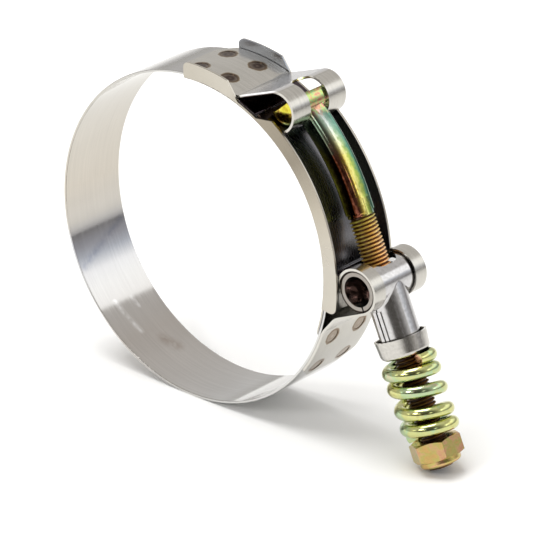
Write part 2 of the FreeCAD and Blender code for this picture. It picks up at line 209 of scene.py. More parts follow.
def around_ring(tree):
    """Metres along the strip, across it and from its centre, and then turns, radius and across by themselves."""
    place = add_node(tree, "ShaderNodeTexCoord").outputs["Object"]
    x, y, z = add_node(tree, "ShaderNodeSeparateXYZ", [(0, place)]).outputs
    angle = add_node(tree, "ShaderNodeMath", [(0, z), (1, x)], operation="ARCTAN2")
    flat = add_node(tree, "ShaderNodeCombineXYZ", [(0, x), (1, z)])
    radius = add_node(tree, "ShaderNodeVectorMath", [(0, flat)], operation="LENGTH")
    length = add_node(tree, "ShaderNodeMath", [(0, angle), (1, STRIP_RADIUS * MM)], operation="MULTIPLY")
    turns = add_node(tree, "ShaderNodeMath", [(0, angle), (1, math.tau)], operation="DIVIDE")
    turns = add_node(tree, "ShaderNodeMath", [(0, turns)], operation="FRACT")
    strip = add_node(tree, "ShaderNodeCombineXYZ", [(0, length), (1, y), (2, radius)])
    return strip, turns, radius, y


print("the strip is", round(math.tau * STRIP_RADIUS, 1), "mm round")

# %% [markdown]
# ## Satin stainless steel
# The band, the bridge and the two straps are cold rolled stainless strip. Rolling leaves a satin grain, which is
# seen as fine lines along the strip and a soft, wide reflection. The grain is a few hundredths of a millimetre wide,
# too fine for this picture, so it is drawn about a third of a millimetre wide.

# %% Satin steel
GRAIN_LENGTH, CLOUD = 18, 14


def satin_steel(name, light, dark, roughness=0.3, grain=0.35):
    """Rolled strip with grain lines, faint clouds and a brushed sheen. Returns its coordinates as well."""
    material, tree, shader = new_material(name)
    ring = around_ring(tree)
    stretch = (per(GRAIN_LENGTH), per(grain), per(GRAIN_LENGTH))
    drawn_out = add_node(tree, "ShaderNodeVectorMath", [(0, ring[0]), (1, stretch)], operation="MULTIPLY")
    lines = add_node(tree, "ShaderNodeTexNoise", [("Vector", drawn_out), ("Scale", 1.0), ("Detail", 4.0)])
    clouds = add_node(tree, "ShaderNodeTexNoise", [("Vector", ring[0]), ("Scale", per(CLOUD)), ("Detail", 3.0)])
    mixed = add_node(tree, "ShaderNodeMath", [(0, lines), (1, 0.6)], operation="MULTIPLY")
    mixed = add_node(tree, "ShaderNodeMath", [(0, clouds), (1, 0.4), (2, mixed)], operation="MULTIPLY_ADD")
    tint = add_node(tree, "ShaderNodeValToRGB", [(0, mixed)], [(0.3, dark), (0.7, light)])
    feed(tree, shader.inputs["Base Color"], tint)
    shader.inputs["Metallic"].default_value = 1.0
    gloss = add_node(tree, "ShaderNodeMapRange", [(0, lines), (3, roughness - 0.06), (4, roughness + 0.08)])
    feed(tree, shader.inputs["Roughness"], gloss)
    bump = add_node(tree, "ShaderNodeBump", [("Strength", 0.12), ("Distance", 0.02 * MM), ("Height", lines)])
    feed(tree, shader.inputs["Normal"], bump)
    return material, ring


print("the grain is drawn", GRAIN_LENGTH, "mm long")

# %% [markdown]
# ## The bridge
# The bridge is a channel that spans the band's gap. Its floor lies under the bolt and between two flanges, and the
# photo shows it darker than soft lamps alone would leave it, so painted shade darkens it. The floor is found by how
# far across it lies and by its radius. It begins just before the angle's zero, where turns wrap from one to zero,
# and ends at the ears.

# %% Painted shade in the channel
FLANGE, FLANGE_EDGE = 9.62, 10.0
FLOOR_BELOW, FLOOR_ABOVE = 40.55, 40.75
FLOOR_FROM, EAR_FROM = 0.93, 0.2

bridge_steel, (_, turns, radius, across) = satin_steel("satin steel of the bridge", "c8c3b8", "b4aea2", 0.26)
tree, shader, tint = opened(bridge_steel)
offset = add_node(tree, "ShaderNodeMath", [(0, across)], operation="ABSOLUTE")
between = add_node(tree, "ShaderNodeMapRange", [(0, offset), (1, (FLANGE + 0.1) * MM), (2, FLANGE * MM)])
above = add_node(tree, "ShaderNodeMapRange", [(0, radius), (1, FLOOR_BELOW * MM), (2, FLOOR_ABOVE * MM)])
before_ear = add_node(tree, "ShaderNodeMapRange", [(0, turns), (1, EAR_FROM + 0.003), (2, EAR_FROM - 0.003)])
before_zero = add_node(tree, "ShaderNodeMapRange", [(0, turns), (1, FLOOR_FROM), (2, FLOOR_FROM + 0.005)])
shade = add_node(tree, "ShaderNodeMath", [(0, before_ear), (1, before_zero)], operation="MAXIMUM")
# The share of painted shade on the channel's floor.
shade = where_all(tree, shade, between, above)
print("the channel's floor is", 2 * FLANGE, "mm wide")

# %% [markdown]
# The outer edges of the flanges are drawn darker in a stretch towards the top, where the photo shows them grey. The
# inner face of the far ear looks away from the lamps, and a cool grey painted shade stands for the light it takes
# from the room.

# %% Edges, and painted shade on the far ear
edge = add_node(tree, "ShaderNodeMapRange", [(0, offset), (1, (FLANGE_EDGE - 0.1) * MM), (2, FLANGE_EDGE * MM)])
darker_edges = add_node(
    tree, "ShaderNodeValToRGB", [(0, turns)],
    [(0.02, "ffffff"), (0.07, "f6f3ee"), (0.12, "c0bbb4"), (0.17, "d2cdc5"), (0.21, "ffffff")],
)
far_side = add_node(tree, "ShaderNodeMapRange", [(0, across), (1, (FLANGE - 0.12) * MM), (2, FLANGE * MM)])
at_ear = add_node(tree, "ShaderNodeMapRange", [(0, turns), (1, EAR_FROM - 0.005), (2, EAR_FROM + 0.005)])
not_edge = add_node(tree, "ShaderNodeMath", [(0, 1.0), (1, edge)], operation="SUBTRACT")
ear = where_all(tree, at_ear, far_side, not_edge)
# The far ear and the channel's floor get painted shade; the edges are drawn darker.
feed(
    tree, shader.inputs["Base Color"],
    stained(tree, tint, (edge, darker_edges), (ear, colour("d5e2ff")), (shade, colour("a8acbc"))),
)
put_on("bridge", bridge_steel)
print(bridge_steel.name, "has", len(tree.nodes), "nodes")

# %% [markdown]
# ## Spot welds
# Each strap is held to the band by four spot welds. The current heats the steel, so a round mark is ringed with
# brown temper colour. It is a stain more than a step, so it is drawn and not modelled: the distance from the nearest
# of the four centres drives the colour, and a noise makes its rim uneven.

# %% Straps with weld marks
WELD_OFFSET, STRAP_RADIUS = 4.9, 42.07
WELD_REACH = 2.9


def welded_strap(name, angles, burns):
    """Satin steel with the four brown-ringed marks of the spot welder."""
    material, _ = satin_steel(name, "d2cfc8", "bdbab2", 0.22)
    tree, shader, tint = opened(material)
    place = add_node(tree, "ShaderNodeTexCoord").outputs["Object"]
    nearest = 1.0
    for turn in (math.radians(angle) for angle in angles):
        for side in (-WELD_OFFSET, WELD_OFFSET):
            centre = Vector((STRAP_RADIUS * math.cos(turn), side, STRAP_RADIUS * math.sin(turn))) * MM
            gap = add_node(tree, "ShaderNodeVectorMath", [(0, place), (1, centre)], operation="DISTANCE")
            nearest = add_node(tree, "ShaderNodeMath", [(0, nearest), (1, gap)], operation="MINIMUM")
    wobble = add_node(tree, "ShaderNodeTexNoise", [("Vector", place), ("Scale", per(1.1)), ("Detail", 6.0)])
    reach = add_node(tree, "ShaderNodeMath", [(0, wobble), (1, 0.8 * MM), (2, nearest)], operation="MULTIPLY_ADD")
    outwards = add_node(tree, "ShaderNodeMapRange", [(0, reach), (1, 0.2 * MM), (2, WELD_REACH * MM)])
    burn = add_node(tree, "ShaderNodeValToRGB", [(0, outwards)], burns)
    feed(tree, shader.inputs["Base Color"], stained(tree, tint, (1.0, burn)))
    return material


strong = [(0.08, "8f8178"), (0.24, "5c473d"), (0.40, "4a362c"), (0.55, "7d6e65"), (0.70, "9b8e84"),
          (0.82, "7a6048"), (0.92, "c4b49c"), (1.0, "ffffff")]
weak = [(0.10, "ddd2c8"), (0.35, "c0b0a2"), (0.60, "cabeb2"), (0.76, "ae9a86"), (0.86, "94785c"),
        (0.95, "d4c8b8"), (1.0, "ffffff")]
upper_steel = welded_strap("satin steel of the upper strap", (93.2, 80.8), strong)
put_on("bolt_saddle", upper_steel)
put_on("trunnion_saddle", welded_strap("satin steel of the lower strap", (-20.4, -34.4), weak))
print("four weld marks on each strap")

# %% [markdown]
# ## The ramp of the upper strap
# Between its welds and its loop the upper strap is a straight ramp. Its underside gets painted shade, dark like the
# channel it faces, and its top gets a painted highlight that makes it a little brighter. The distance from a plane
# inside the sheet tells the two faces apart.

# %% Painted shade below and painted highlight above
RAMP_NORMAL, RAMP_TOP = (-0.3616, 0, 0.9323), 32.81
RAMP_FROM, RAMP_TO, RAMP_FADE = 13.0, 25.5, 2.0
TOP_HIGHLIGHT = 0.75

tree, shader, tint = opened(upper_steel)
place = add_node(tree, "ShaderNodeTexCoord").outputs["Object"]
right = add_node(tree, "ShaderNodeSeparateXYZ", [(0, place)]).outputs[0]
rise = add_node(tree, "ShaderNodeVectorMath", [(0, place), (1, RAMP_NORMAL)], operation="DOT_PRODUCT")
top = add_node(tree, "ShaderNodeMapRange", [(0, rise), (1, (RAMP_TOP - 0.5) * MM), (2, (RAMP_TOP - 0.35) * MM)])
begins = add_node(
    tree, "ShaderNodeMapRange", [(0, right), (1, RAMP_FROM * MM), (2, (RAMP_FROM + RAMP_FADE) * MM)]
)
ends = add_node(tree, "ShaderNodeMapRange", [(0, right), (1, RAMP_TO * MM), (2, (RAMP_TO - RAMP_FADE) * MM)])
# Painted shade on the underside, and a painted highlight on the top.
below = stained(tree, tint, (1.0, colour("71625f")))
lighter = add_node(tree, "ShaderNodeMix", [(0, TOP_HIGHLIGHT), (6, tint), (7, colour("fcfcff"))], data_type="RGBA")
faces = add_node(tree, "ShaderNodeMix", [(0, top), (6, below), (7, lighter)], data_type="RGBA")
zone = where_all(tree, begins, ends)
ramped = add_node(tree, "ShaderNodeMix", [(0, zone), (6, tint), (7, faces)], data_type="RGBA")
feed(tree, shader.inputs["Base Color"], ramped)
print("the ramp runs from", RAMP_FROM, "to", RAMP_TO, "mm right of the ring's centre")

# %% [markdown]
# ## Formed and polished steel
# The trunnion and the cup are drawn from sheet and tumbled bright, so they reflect nearly like a mirror, with small
# dents that make the reflections wander. The scuffs are much finer in truth and are drawn 0.7 mm wide.

# %% Bright steel
def bright_steel(name, light, dark, roughness):
    """Tumbled sheet: clear reflections that ripple a little."""
    material, tree, shader = new_material(name)
    place = add_node(tree, "ShaderNodeTexCoord").outputs["Object"]
    ripple = add_node(tree, "ShaderNodeTexNoise", [("Vector", place), ("Scale", per(3.0)), ("Detail", 2.0)])
    scuff = add_node(tree, "ShaderNodeTexNoise", [("Vector", place), ("Scale", per(0.7)), ("Detail", 5.0)])
    feed(
        tree, shader.inputs["Base Color"],
        add_node(tree, "ShaderNodeValToRGB", [(0, scuff)], [(0.3, dark), (0.7, light)]),
    )
    shader.inputs["Metallic"].default_value = 1.0
    gloss = add_node(tree, "ShaderNodeMapRange", [(0, scuff), (3, roughness - 0.02), (4, roughness + 0.04)])
    feed(tree, shader.inputs["Roughness"], gloss)
    bump = add_node(tree, "ShaderNodeBump", [("Strength", 0.2), ("Distance", 0.08 * MM), ("Height", ripple)])
    feed(tree, shader.inputs["Normal"], bump)
    return material


put_on("spring_cup", bright_steel("bright steel of the cup", "cfccc6", "bbb8b2", 0.15))
print("the cup is bright")

# %% [markdown]
# ## Painted shade and a duller end on the trunnion
# A dark stripe round the cross tube beside the far loop is painted shade, where the gap under the loop lies in
# shadow. The near end of the tube is cut, so it is duller than the rest, and its rim gets painted shade from the
# narrow gap to the strap's loop.

# %% Stripe, end and rim of the cross tube
CENTRE = Vector((49.822, 0, 1.4955)) * MM
HALF_TUBE = 10
END_FROM = -9.0
RIM_FROM, RIM_TO = 4.62, 4.74

trunnion_steel = bright_steel("bright steel of the trunnion", "d2d1d1", "c2c0bf", 0.13)
tree, shader, tint = opened(trunnion_steel)
place = add_node(tree, "ShaderNodeTexCoord").outputs["Object"]
across = add_node(tree, "ShaderNodeSeparateXYZ", [(0, place)]).outputs[1]
length = add_node(tree, "ShaderNodeMapRange", [(0, across), (1, -HALF_TUBE * MM), (2, HALF_TUBE * MM)])
# The dark stops near 0.75 are painted shade; the step at 0.05 is the duller cut end.
end_tone_and_gap_shade = add_node(
    tree, "ShaderNodeValToRGB", [(0, length)],
    [(0.048, "c2bcb4"), (0.050, "ffffff"), (0.735, "ffffff"), (0.765, "2b2623"), (0.79, "2b2623"),
     (0.80, "ffffff")],
)
end_face = add_node(tree, "ShaderNodeMath", [(0, across), (1, END_FROM * MM)], operation="LESS_THAN")
arm = add_node(tree, "ShaderNodeVectorMath", [(0, place), (1, CENTRE)], operation="SUBTRACT")
level = add_node(tree, "ShaderNodeVectorMath", [(0, arm), (1, (1.0, 0.0, 1.0))], operation="MULTIPLY")
out = add_node(tree, "ShaderNodeVectorMath", [(0, level)], operation="LENGTH")
rim = add_node(tree, "ShaderNodeMapRange", [(0, out), (1, RIM_FROM * MM), (2, RIM_TO * MM)])
rim = where_all(tree, rim, end_face)
feed(tree, shader.inputs["Base Color"], stained(tree, tint, (1.0, end_tone_and_gap_shade), (rim, colour("4a423c"))))
put_on("trunnion", trunnion_steel)
print("the rim is dark beyond", RIM_FROM, "mm from the tube's line")

# %% [markdown]
# ## Yellow chromate over zinc
# The bolt, the spring and the nut are zinc plated and dipped in yellow chromate. The film is so thin that light
# interferes in it, and its colour wanders from yellow-green to teal and pink with its thickness. A slow noise stands
# in for the thickness and a colour ramp for the interference. The fine bloom of the film is drawn coarse, 0.8 mm.

# %% A chromate finish
BLOOM = 0.8


def chromate(name, stops, roughness, patch_mm):
    """A plated finish whose colour follows a slowly changing thickness."""
    material, tree, shader = new_material(name)
    place = add_node(tree, "ShaderNodeTexCoord").outputs["Object"]
    film = add_node(
        tree, "ShaderNodeTexNoise",
        [("Vector", place), ("Scale", per(patch_mm)), ("Detail", 4.0), ("Distortion", 0.6)],
    )
    fine = add_node(tree, "ShaderNodeTexNoise", [("Vector", place), ("Scale", per(BLOOM)), ("Detail", 4.0)])
    mixed = add_node(tree, "ShaderNodeMath", [(0, fine), (1, 0.25), (2, film)], operation="MULTIPLY_ADD")
    thickness = add_node(tree, "ShaderNodeMapRange", [(0, mixed), (1, 0.42), (2, 0.84)])
    feed(tree, shader.inputs["Base Color"], add_node(tree, "ShaderNodeValToRGB", [(0, thickness)], stops))
    shader.inputs["Metallic"].default_value = 1.0
    gloss = add_node(tree, "ShaderNodeMapRange", [(0, fine), (3, roughness - 0.04), (4, roughness + 0.08)])
    feed(tree, shader.inputs["Roughness"], gloss)
    bump = add_node(tree, "ShaderNodeBump", [("Strength", 0.08), ("Distance", 0.1 * MM), ("Height", fine)])
    feed(tree, shader.inputs["Normal"], bump)
    return material


print("the bloom is drawn", BLOOM, "mm wide")

# %% [markdown]
# The four plated pieces left the bath with films of different thickness. The bolt runs from gold to brown, the
# spring is a pale green, the nut a flat gold, and the thread is matt, because its crests scatter the light.

# %% The four plated finishes
bolt_finish = chromate(
    "yellow chromate on the bolt",
    [(0.0, "a88a2c"), (0.3, "d6cc48"), (0.5, "dcd258"), (0.6, "c2a850"), (0.7, "8a4c34"), (0.8, "c9b048")],
    0.13, 2.4,
)
thread_finish = chromate(
    "yellow chromate on the thread", [(0.0, "ecc88c"), (0.5, "ffe6b4"), (1.0, "fff4cc")], 0.3, 2.5,
)
spring_finish = chromate(
    "yellow chromate on the spring",
    [(0.0, "b4aa68"), (0.3, "d0d08c"), (0.55, "c2c688"), (0.75, "aec89c"), (1.0, "ccc2a0")], 0.14, 8,
)
nut_finish = chromate(
    "yellow chromate on the nut",
    [(0.0, "b39a5c"), (0.3, "cfaa6c"), (0.5, "bdb468"), (0.7, "d2ac7c"), (1.0, "d29a7c")], 0.2, 3.5,
)
put_on("t_bolt", bolt_finish)
put_on("spring", spring_finish)
put_on("lock_nut", nut_finish)
print("four plated finishes")

# %% [markdown]
# ## Nylon
# The ring in the nut's crown that grips the thread is moulded nylon in its natural colour: a waxy off-white, a
# little cloudy, with a soft shine.

# %% The nylon ring
nylon, tree, shader = new_material("natural nylon")
place = add_node(tree, "ShaderNodeTexCoord").outputs["Object"]
cloudy = add_node(tree, "ShaderNodeTexNoise", [("Vector", place), ("Scale", per(0.9))])
feed(
    tree, shader.inputs["Base Color"],
    add_node(tree, "ShaderNodeValToRGB", [(0, cloudy)], [(0.3, "d5d0c0"), (0.7, "e6e2d6")]),
)
shader.inputs["Roughness"].default_value = 0.45
shader.inputs["IOR"].default_value = 1.53
put_on("nylon_insert", nylon)
print(nylon.name, "is on the ring in the nut")

# %% [markdown]
# ## The band
# The band is one strip that bends as the clamp closes, so it is a piece of its own that follows the ring at one end
# and the lower strap at the other. The model's long faces would bend in corners. It starts as an open tube with a
# face every half degree, and the faces over the gap are taken out.

# %% Open ring of strip
BAND_OUTER = 41.45
BAND_WALL = 0.6
BAND_WIDTH = 19.0
BAND_FROM, BAND_TO = 63.5, 364.0  # degrees round the ring

bpy.ops.object.select_all(action="DESELECT")
bpy.ops.mesh.primitive_cylinder_add(
    vertices=720, radius=BAND_OUTER * MM, depth=BAND_WIDTH * MM, end_fill_type="NOTHING",
    rotation=(math.pi / 2, 0, 0),
)
band = bpy.context.object
band.name = "band_strip"
bpy.ops.object.transform_apply(rotation=True)
bpy.ops.object.mode_set(mode="EDIT")
bpy.ops.mesh.select_mode(type="FACE")
bpy.ops.mesh.select_all(action="DESELECT")
bpy.ops.object.mode_set(mode="OBJECT")
for face in band.data.polygons:
    angle = math.degrees(math.atan2(face.center.z, face.center.x)) % 360
    face.select = BAND_TO - 360 < angle < BAND_FROM
bpy.ops.object.mode_set(mode="EDIT")
bpy.ops.mesh.delete(type="FACE")
bpy.ops.mesh.select_all(action="SELECT")
bpy.ops.mesh.subdivide(number_cuts=1)
bpy.ops.mesh.normals_make_consistent(inside=False)
bpy.ops.object.mode_set(mode="OBJECT")
print("open ring:", len(band.data.polygons), "faces over", BAND_TO - BAND_FROM, "degrees")

# %% [markdown]
# Solidify gives the strip its wall, inwards from the outer face, and Bevel breaks its sharp edges. Smoothing stops
# at 12 degrees, so the bevels don't bend the reflections on the wide faces.

# %% Wall and broken edges
wall = band.modifiers.new("wall", "SOLIDIFY")
wall.thickness = BAND_WALL * MM
wall.offset = -1.0
edges = band.modifiers.new("broken edges", "BEVEL")
edges.width = 0.12 * MM
edges.segments = 2
edges.limit_method = "ANGLE"
edges.angle_limit = math.radians(50)
bpy.ops.object.modifier_apply(modifier="wall")
bpy.ops.object.modifier_apply(modifier="broken edges")
bpy.ops.object.shade_smooth_by_angle(angle=math.radians(12))
print("band:", len(band.data.polygons), "faces")

# %% [markdown]
# ## Finish of the band
# The band is the smoothest of the rolled parts and shows the window nearly as a mirror would. Its tone drifts from
# warm to cool round the ring, and under the upper strap's ramp its outer face gets painted shade.

# %% Band steel
INNER_FACE, OUTER_FACE = 41.12, 41.3

band_steel, (strip, turns, radius, _) = satin_steel("satin steel of the band", "d2d1cf", "c6c5c3", 0.085, 0.4)
tree, shader, tint = opened(band_steel)
zones = add_node(
    tree, "ShaderNodeValToRGB", [(0, turns)],
    [(0.24, "f0f0f2"), (0.36, "eeece6"), (0.50, "f2ebe0"), (0.535, "f4f0ea"), (0.555, "f4f6ff"),
     (0.60, "ffffff"), (0.66, "f4efea"), (0.78, "ffffff")],
)
inside = add_node(tree, "ShaderNodeMath", [(0, radius), (1, INNER_FACE * MM)], operation="LESS_THAN")
outside = add_node(tree, "ShaderNodeMath", [(0, radius), (1, OUTER_FACE * MM)], operation="GREATER_THAN")
under_ramp = add_node(tree, "ShaderNodeValToRGB", [(0, turns)], [(0.197, "ffffff"), (0.21, "000000")])
painted_shade_under_ramp = where_all(tree, under_ramp, outside)
marked = stained(tree, tint, (1.0, zones))
print(band_steel.name, "has", len(tree.nodes), "nodes so far")

# %% [markdown]
# ## Marks of use in the band
# Handling and rolling oil leave faint marks inside, near the bottom: two pale scratches, a brown smudge and a bluish
# line. Each is a soft stroke between two places, given by an angle round the ring and millimetres across. A noise
# frays its edge and breaks it into patches.

# %% Soft strokes
wander = add_node(tree, "ShaderNodeTexNoise", [("Vector", strip), ("Scale", per(1.5)), ("Detail", 4.0)])
patchy = add_node(tree, "ShaderNodeMapRange", [(0, wander), (1, 0.35), (2, 0.6), (3, 0.15), (4, 1.0)])


def on_strip(angle, across_mm):
    """A place on the strip's inner face, in the coordinates that follow the strip."""
    turn = math.radians((angle + 180) % 360 - 180)
    return Vector((STRIP_RADIUS * turn, across_mm, BAND_OUTER - BAND_WALL)) * MM


def stroke(start, end, width_mm, amount):
    """The share of a soft stroke from start to end."""
    reach = end - start
    slope = reach / reach.length_squared
    arm = add_node(tree, "ShaderNodeVectorMath", [(0, strip), (1, start)], operation="SUBTRACT")
    share = add_node(tree, "ShaderNodeVectorMath", [(0, arm), (1, slope)], operation="DOT_PRODUCT")
    share = add_node(tree, "ShaderNodeClamp", [(0, share)])
    step = add_node(tree, "ShaderNodeVectorMath", [(0, reach), ("Scale", share)], operation="SCALE")
    gap = add_node(tree, "ShaderNodeVectorMath", [(0, arm), (1, step)], operation="DISTANCE")
    gap = add_node(tree, "ShaderNodeMath", [(0, wander), (1, width_mm * MM), (2, gap)], operation="MULTIPLY_ADD")
    near = add_node(
        tree, "ShaderNodeMapRange", [(0, gap), (1, 1.5 * width_mm * MM), (2, 0.5 * width_mm * MM), (4, amount)]
    )
    return where_all(tree, near, inside, patchy)


for start, end, width_mm, code, amount in (
    ((223.5, -4.0), (236.5, -2.5), 1.1, "ffffff", 0.75),
    ((224.5, 1.5), (228.0, 2.0), 0.9, "ffffff", 0.7),
    ((243.0, 1.5), (247.5, 3.0), 2.6, "9a8a7c", 0.6),
    ((198.0, 8.0), (208.0, -8.0), 1.6, "8d93a6", 0.5),
):
    near = stroke(on_strip(*start), on_strip(*end), width_mm, amount)
    marked = add_node(tree, "ShaderNodeMix", [(0, near), (6, marked), (7, colour(code))], data_type="RGBA")
# The outer face under the ramp is darkened with painted shade.
feed(tree, shader.inputs["Base Color"], stained(tree, marked, (painted_shade_under_ramp, colour("685b62"))))
print("four marks inside the band")

# %% [markdown]
# The band takes the place of the model's plain one. It bends between the ring and the lower strap, from one end of
# the blend to the other.

# %% Band in its place
band.data.materials.append(band_steel)
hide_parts("band")
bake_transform(band, "ring", "lower_saddle", start=(-0.0110, 0, 0.0190), end=(0.0094, 0, -0.0163))

# %% [markdown]
# ## The bolt's line
# Everything on the thread shares one line. It leans 64.75 degrees down from the X axis, and distances along it are
# measured from the trunnion's centre.

# %% Places along the thread
LEAN = math.radians(-64.75)
AXIS = Vector((math.cos(LEAN), 0, math.sin(LEAN)))
SIDE = Vector((AXIS.z, 0, -AXIS.x))
BACK = Vector((0, 1, 0))
TURN_TO_AXIS = AXIS.to_track_quat("Z", "Y").to_matrix().to_4x4()


def along(mm):
    """A point on the thread's line."""
    return CENTRE + AXIS * mm * MM


print("the thread points along", [round(v, 3) for v in AXIS])

# %% [markdown]
# ## The thread
# A quarter-inch fine thread has a crest every 0.907 mm. A bump could draw it, but the teeth show in the bolt's
# outline, so they are modelled. One tooth is drawn and the Screw modifier sweeps it round the line, as a die does.

# %% Cut thread
PITCH = 25.4 / 28
CREST = 3.175
ROOT = CREST - 0.61 * PITCH
BURIED = ROOT - 0.15
CREST_FLAT = 0.14
THREAD_FROM, THREAD_TO = -15.8, 46.0
turns_needed = math.ceil((THREAD_TO - THREAD_FROM) / PITCH)

bpy.ops.object.select_all(action="DESELECT")
bpy.ops.mesh.primitive_circle_add(vertices=4, radius=1 * MM, fill_type="NOTHING")
thread = bpy.context.object
thread.name = "bolt_thread"
tooth = [(BURIED, -0.5), (CREST, -CREST_FLAT / 2), (CREST, CREST_FLAT / 2), (BURIED, 0.5)]
for corner, (radius_mm, share) in zip(thread.data.vertices, tooth):
    corner.co = Vector((radius_mm, 0, THREAD_FROM + PITCH * (share + 0.5))) * MM
screw = thread.modifiers.new("cut round the line", "SCREW")
screw.screw_offset = PITCH * MM
screw.iterations = turns_needed
screw.steps = screw.render_steps = 40
screw.use_normal_calculate = True
bpy.ops.object.modifier_apply(modifier="cut round the line")
bpy.ops.object.mode_set(mode="EDIT")
bpy.ops.mesh.select_all(action="SELECT")
bpy.ops.mesh.remove_doubles(threshold=0.001 * MM)
bpy.ops.mesh.fill_holes(sides=8)
bpy.ops.mesh.normals_make_consistent(inside=False)
bpy.ops.mesh.bisect(plane_co=(0, 0, THREAD_TO * MM), plane_no=(0, 0, 1), clear_outer=True, use_fill=True)
bpy.ops.object.mode_set(mode="OBJECT")
print("thread:", turns_needed, "turns,", len(thread.data.polygons), "faces")

# %% [markdown]
# The thread stands on a core, a cylinder that fills it to its tip and reaches half a millimetre into the collar. The
# two are joined and stood on the bolt's line.

# %% Core of the thread
CORE_SPARE = 0.5

bpy.ops.object.select_all(action="DESELECT")
bpy.ops.mesh.primitive_cylinder_add(
    vertices=64, radius=ROOT * MM, depth=(THREAD_TO - THREAD_FROM + CORE_SPARE) * MM,
    location=(0, 0, (THREAD_TO + THREAD_FROM - CORE_SPARE) / 2 * MM),
)
bpy.ops.object.transform_apply(location=True)
thread.select_set(True)
bpy.context.view_layer.objects.active = thread
bpy.ops.object.join()
thread.data.transform(TURN_TO_AXIS)
thread.data.transform(Matrix.Translation(CENTRE))
bpy.ops.object.shade_smooth_by_angle(angle=math.radians(28))
print("thread with its core:", len(thread.data.polygons), "faces")

# %% [markdown]
# ## Tones of the thread
# The roots get painted shade, so the finish is browner near the core than on the crests, and the distance from the
# bolt's line drives the change. Along the bolt the film turns from green at the collar to orange, and painted shade
# makes it brown near the tip, where the spring covers it. The near side is a little greener. The film scatters light
# on the crests, so it counts as less metal.

# %% Painted shade in the roots
TONES_FROM, TONES_TO = -16, 24
NEAR_TO_FAR = 3.2

tree, shader, tint = opened(thread_finish)
place = add_node(tree, "ShaderNodeTexCoord").outputs["Object"]
arm = add_node(tree, "ShaderNodeVectorMath", [(0, place), (1, CENTRE)], operation="SUBTRACT")
turned = add_node(tree, "ShaderNodeVectorMath", [(0, arm), (1, AXIS)], operation="CROSS_PRODUCT")
out = add_node(tree, "ShaderNodeVectorMath", [(0, turned)], operation="LENGTH")
crest = add_node(tree, "ShaderNodeMapRange", [(0, out), (1, (ROOT + 0.05) * MM), (2, CREST * MM)])
roots = add_node(tree, "ShaderNodeValToRGB", [(0, crest)], [(0.0, "6e4c30"), (0.3, "cba27a"), (0.65, "ffffff")])
down = add_node(tree, "ShaderNodeVectorMath", [(0, arm), (1, AXIS)], operation="DOT_PRODUCT")
down = add_node(tree, "ShaderNodeMapRange", [(0, down), (1, TONES_FROM * MM), (2, TONES_TO * MM)])
# The stop at 0.87 is painted shade inside the spring.
lengthwise = add_node(
    tree, "ShaderNodeValToRGB", [(0, down)],
    [(0.0, "d4dc9c"), (0.1, "f8ecc0"), (0.18, "ffeed8"), (0.32, "ffdcc0"), (0.8, "e4c4a8"), (0.87, "947658")],
)
across = add_node(tree, "ShaderNodeSeparateXYZ", [(0, place)]).outputs[1]
across = add_node(tree, "ShaderNodeMapRange", [(0, across), (1, -NEAR_TO_FAR * MM), (2, NEAR_TO_FAR * MM)])
sideways = add_node(
    tree, "ShaderNodeValToRGB", [(0, across)], [(0.05, "a4a878"), (0.3, "f4f0cc"), (0.5, "ffffff")]
)
feed(tree, shader.inputs["Base Color"], stained(tree, tint, (1.0, roots), (1.0, lengthwise), (1.0, sideways)))
shader.inputs["Metallic"].default_value = 0.35
print("roots are darkened between", round(ROOT, 2), "and", CREST, "mm from the line")

# %% [markdown]
# ## The forged head and shank
# The forged part of the bolt is a copy of the model's own shape. A cut across its line just past the round collar
# takes the smooth thread away. Weighted normals keep the long faces flat to the eye beside the small rounded ones.

# %% Forged part
bpy.ops.object.select_all(action="DESELECT")
forged = nodes["t_bolt"].copy()
forged.data = nodes["t_bolt"].data.copy()
forged.name = "bolt_forged"
forged.parent = None
bpy.context.scene.collection.objects.link(forged)
forged.matrix_world = Matrix.Identity(4)
forged.select_set(True)
bpy.context.view_layer.objects.active = forged
bpy.ops.object.mode_set(mode="EDIT")
bpy.ops.mesh.select_all(action="SELECT")
bpy.ops.mesh.remove_doubles(threshold=0.002 * MM)
bpy.ops.mesh.bisect(plane_co=along(THREAD_FROM), plane_no=AXIS, clear_outer=True, use_fill=True)
bpy.ops.object.mode_set(mode="OBJECT")
bpy.ops.object.shade_smooth_by_angle(angle=math.radians(35))
even = forged.modifiers.new("even shading", "WEIGHTED_NORMAL")
even.keep_sharp = True
bpy.ops.object.modifier_apply(modifier="even shading")
print("forged part:", len(forged.data.polygons), "faces")

# %% [markdown]
# The shank is an arch, and the colours of its film run along it in streaks. To place them, each point of the mesh
# keeps a number of its own, the angle round the shank's section: a half on the outer side, less on the near side.
# The arch is a circle through the head's pivot that meets the thread's line at its end.

# %% Angle round the shank
PIVOT = Vector((24.882, 0, 39.283)) * MM
ARCH_END = along(-19.9)
chord = PIVOT - ARCH_END
arch_centre = ARCH_END + SIDE * chord.length_squared / (2 * chord.dot(SIDE))
arch_radius = (ARCH_END - arch_centre).length
around = forged.data.attributes.new("around", "FLOAT", "POINT")
for vertex, item in zip(forged.data.vertices, around.data):
    level = Vector((vertex.co.x, 0, vertex.co.z))
    outward = (level - arch_centre).length - arch_radius
    if (level - ARCH_END).dot(AXIS) > 0:
        outward = (level - ARCH_END).dot(ARCH_END - arch_centre) / arch_radius
    item.value = 0.5 + math.atan2(vertex.co.y, outward) / math.tau
print("the arch's radius is", round(arch_radius / MM, 2), "mm")

# %% [markdown]
# ## Streaks along the shank
# Near the head the film is green, with a painted highlight, a white line, on its crown. Towards the thread it turns
# to gold with a dark brown streak, like a flame, on the near side, and a paler painted highlight on its crown. A
# speckle frays the streaks.

# %% Colours round the shank
SPECKLE = 0.9

